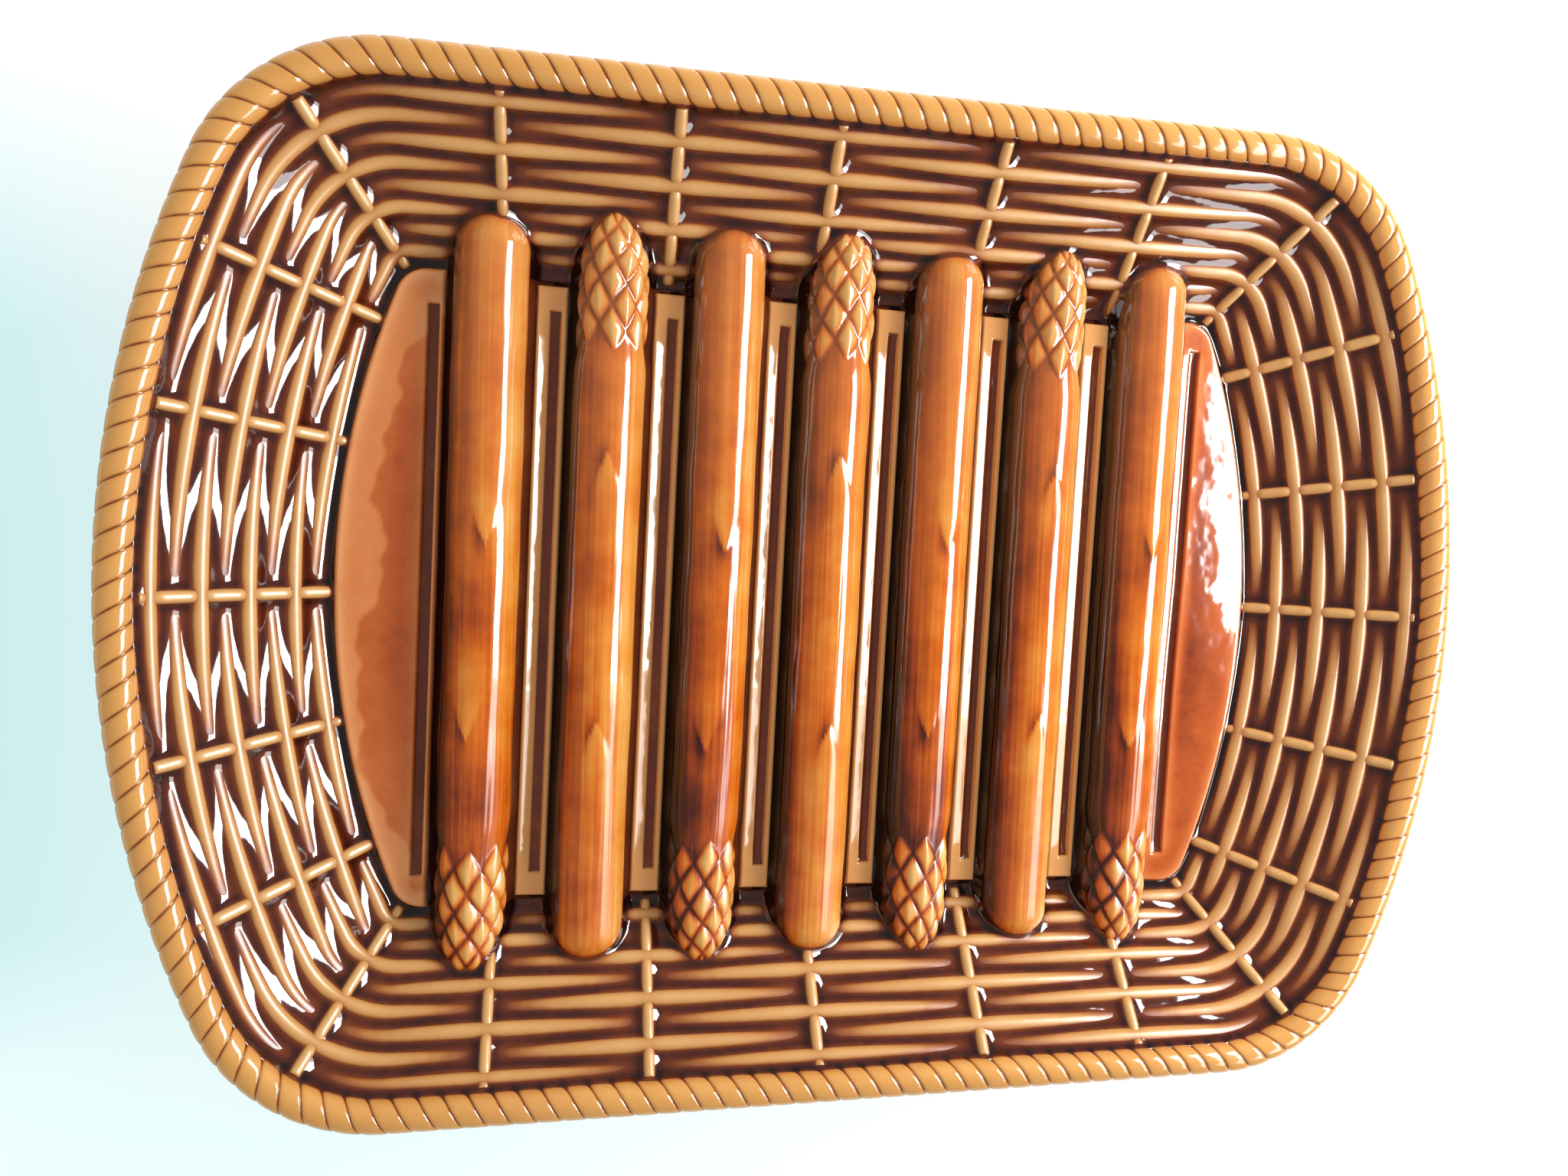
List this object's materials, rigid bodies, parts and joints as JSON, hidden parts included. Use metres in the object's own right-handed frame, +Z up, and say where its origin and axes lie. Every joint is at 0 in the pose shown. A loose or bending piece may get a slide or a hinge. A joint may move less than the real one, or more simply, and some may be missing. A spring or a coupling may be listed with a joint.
{
  "type": "asparagus plate",
  "caption": "Oblong glazed earthenware dish with a rope rim, a basket-woven flared wall and a well of moulded asparagus spears between slotted drain bars.",
  "frame": {"origin": "centre of the box on the plane that the foot ring rests on", "axes": "+X along the length, +Y along the width, towards the tips of the even spears, +Z up"},
  "size_m": [0.37, 0.273, 0.0435],
  "materials": {
    "shell_glaze": "glossy dark brown glaze, pooled almost black in the hollows",
    "foot_glaze": "thin tan glaze, wiped where it stands",
    "rope_glaze": "glossy tan glaze with brown in the twist's grooves",
    "weave_glaze": "glossy tan glaze, brown along the sides of the strands",
    "field_glaze": "glossy orange-brown glaze",
    "bar_glaze": "glossy tan glaze with dark slots",
    "spear_glaze": "glossy amber-orange glaze, darker in the striations"
  },
  "bodies": {
    "root": {"tray_shell": "shell_glaze", "foot_ring": "foot_glaze", "rope_rim": "rope_glaze", "weave_row_1": "weave_glaze", "weave_row_2": "weave_glaze", "weave_row_3": "weave_glaze", "weave_row_4": "weave_glaze", "weave_row_5": "weave_glaze", "weave_row_6": "weave_glaze", "weave_row_7": "weave_glaze", "weave_row_8": "weave_glaze", "weave_stakes": "weave_glaze", "end_field_left": "field_glaze", "end_field_right": "field_glaze", "drain_bar_1": "bar_glaze", "drain_bar_2": "bar_glaze", "drain_bar_3": "bar_glaze", "drain_bar_4": "bar_glaze", "drain_bar_5": "bar_glaze", "drain_bar_6": "bar_glaze", "asparagus_1": "spear_glaze", "asparagus_2": "spear_glaze", "asparagus_3": "spear_glaze", "asparagus_4": "spear_glaze", "asparagus_5": "spear_glaze", "asparagus_6": "spear_glaze", "asparagus_7": "spear_glaze"}
  },
  "joints": []
}
